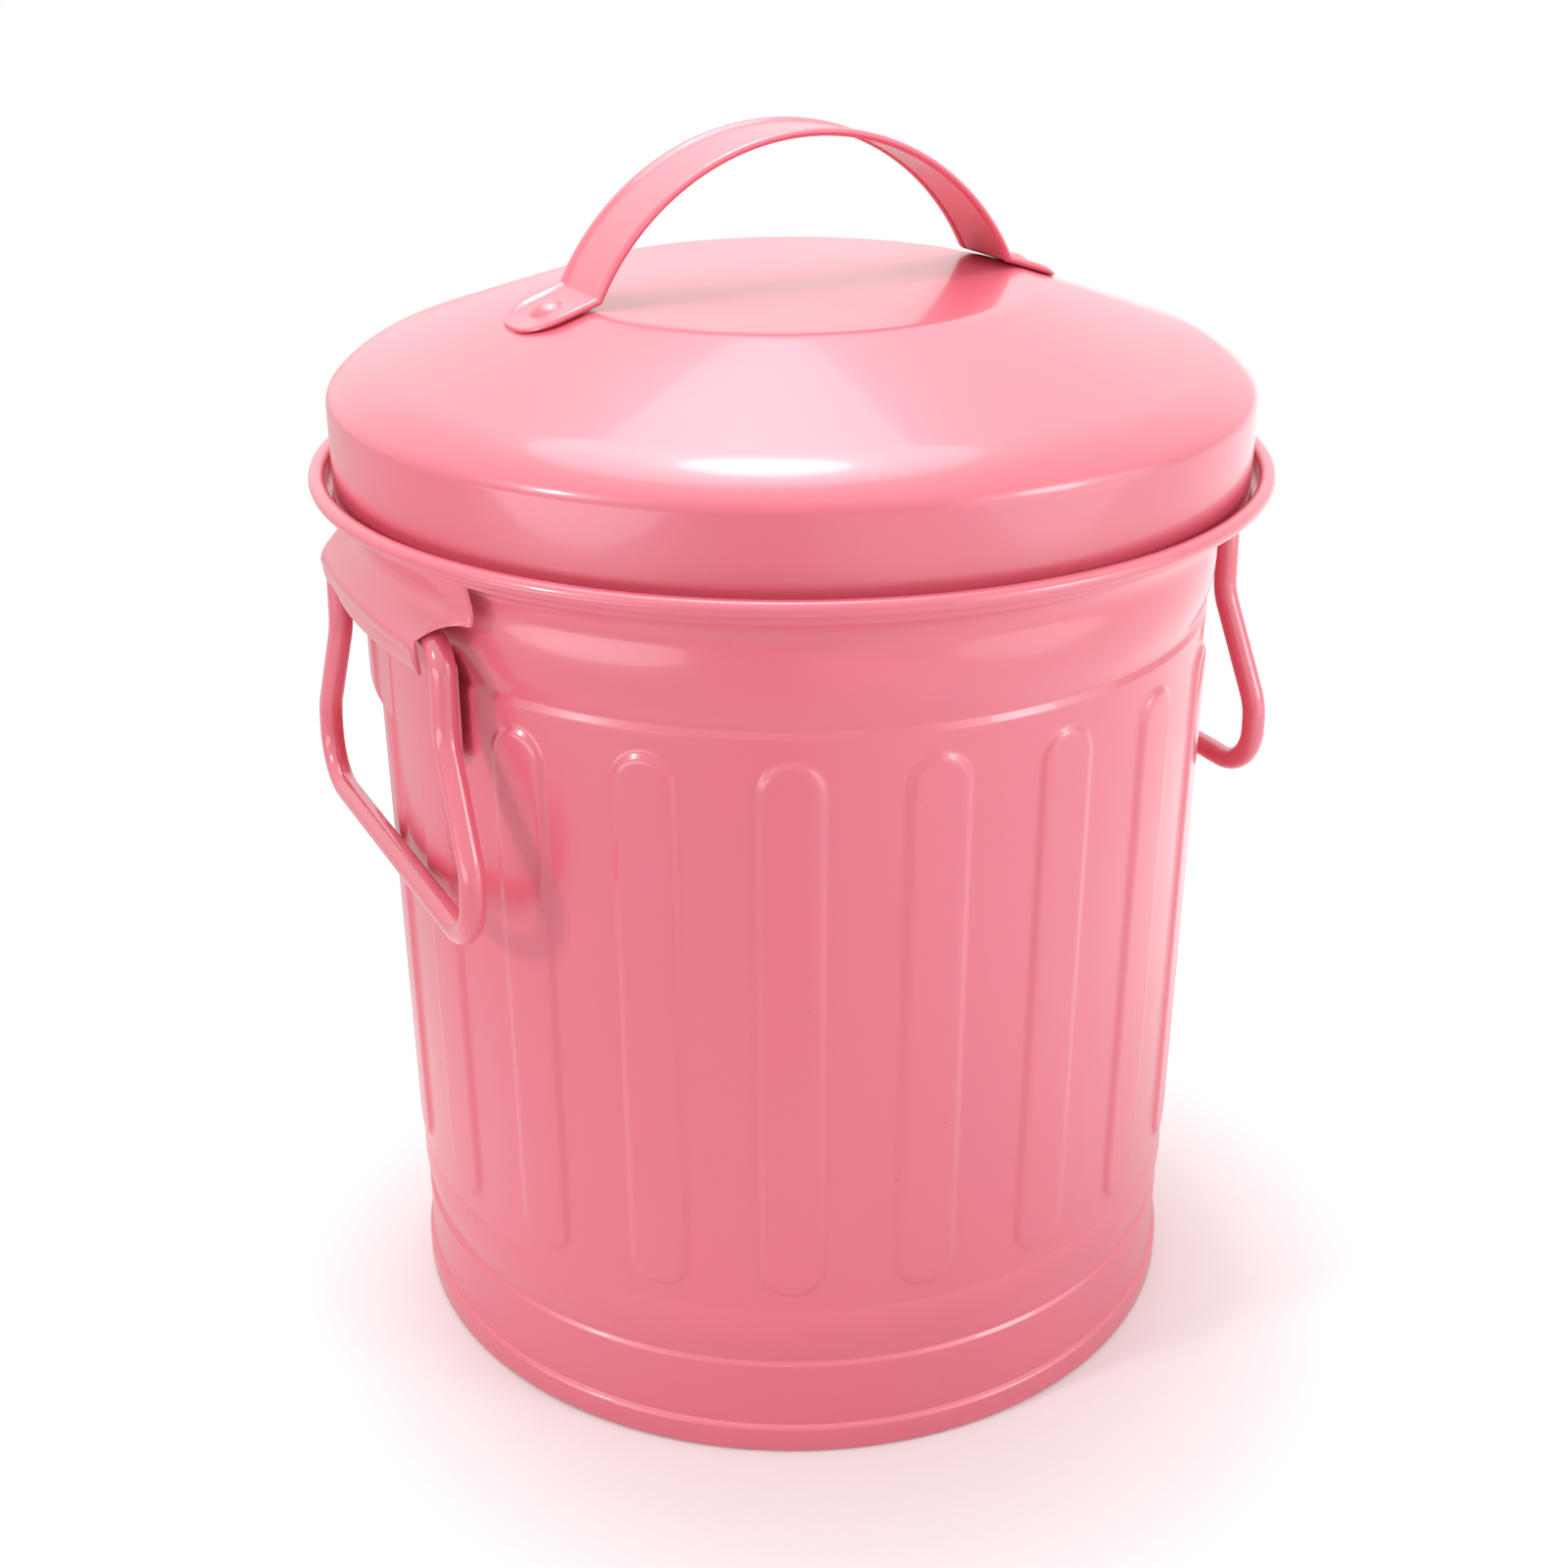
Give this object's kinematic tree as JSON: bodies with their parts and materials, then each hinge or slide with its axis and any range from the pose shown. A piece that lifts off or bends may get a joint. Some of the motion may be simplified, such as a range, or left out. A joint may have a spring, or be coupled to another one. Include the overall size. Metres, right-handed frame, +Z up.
{
  "type": "desktop trash can",
  "caption": "Small round desktop trash can in painted sheet steel, with a ribbed wall, a lift-off lid with a strap handle, and wire drop handles at the sides.",
  "frame": {"origin": "on the can's axis, in the plane that it stands on", "axes": "+Z up along the can's axis; the wire drop handles hang at +X and -X"},
  "size_m": [0.1494, 0.1494, 0.1931],
  "materials": {
    "can_paint": "gloss",
    "wire_paint": "gloss",
    "lid_paint": "gloss"
  },
  "bodies": {
    "can": {"can_wall": "can_paint", "can_floor": "can_paint", "left_ear_hood": "can_paint", "right_ear_hood": "can_paint", "left_ear_plate": "can_paint", "right_ear_plate": "can_paint"},
    "left_handle": {"left_handle": "wire_paint"},
    "right_handle": {"right_handle": "wire_paint"},
    "lid": {"lid_shell": "lid_paint", "lid_strap": "lid_paint", "lid_rivet_left": "lid_paint", "lid_rivet_right": "lid_paint"}
  },
  "joints": [
    {"name": "lid_lift", "type": "slide", "parent": "can", "child": "lid", "axis": [0, 0, 1], "range_m": [0, 0.12]},
    {"name": "right_handle_swing", "type": "hinge", "parent": "can", "child": "right_handle", "pos_m": [0.0671, 0, 0.13], "axis": [0, -1, 0], "range_deg": [0, 75]},
    {"name": "left_handle_swing", "type": "hinge", "parent": "can", "child": "left_handle", "pos_m": [-0.0671, 0, 0.13], "axis": [0, 1, 0], "range_deg": [0, 75]}
  ]
}
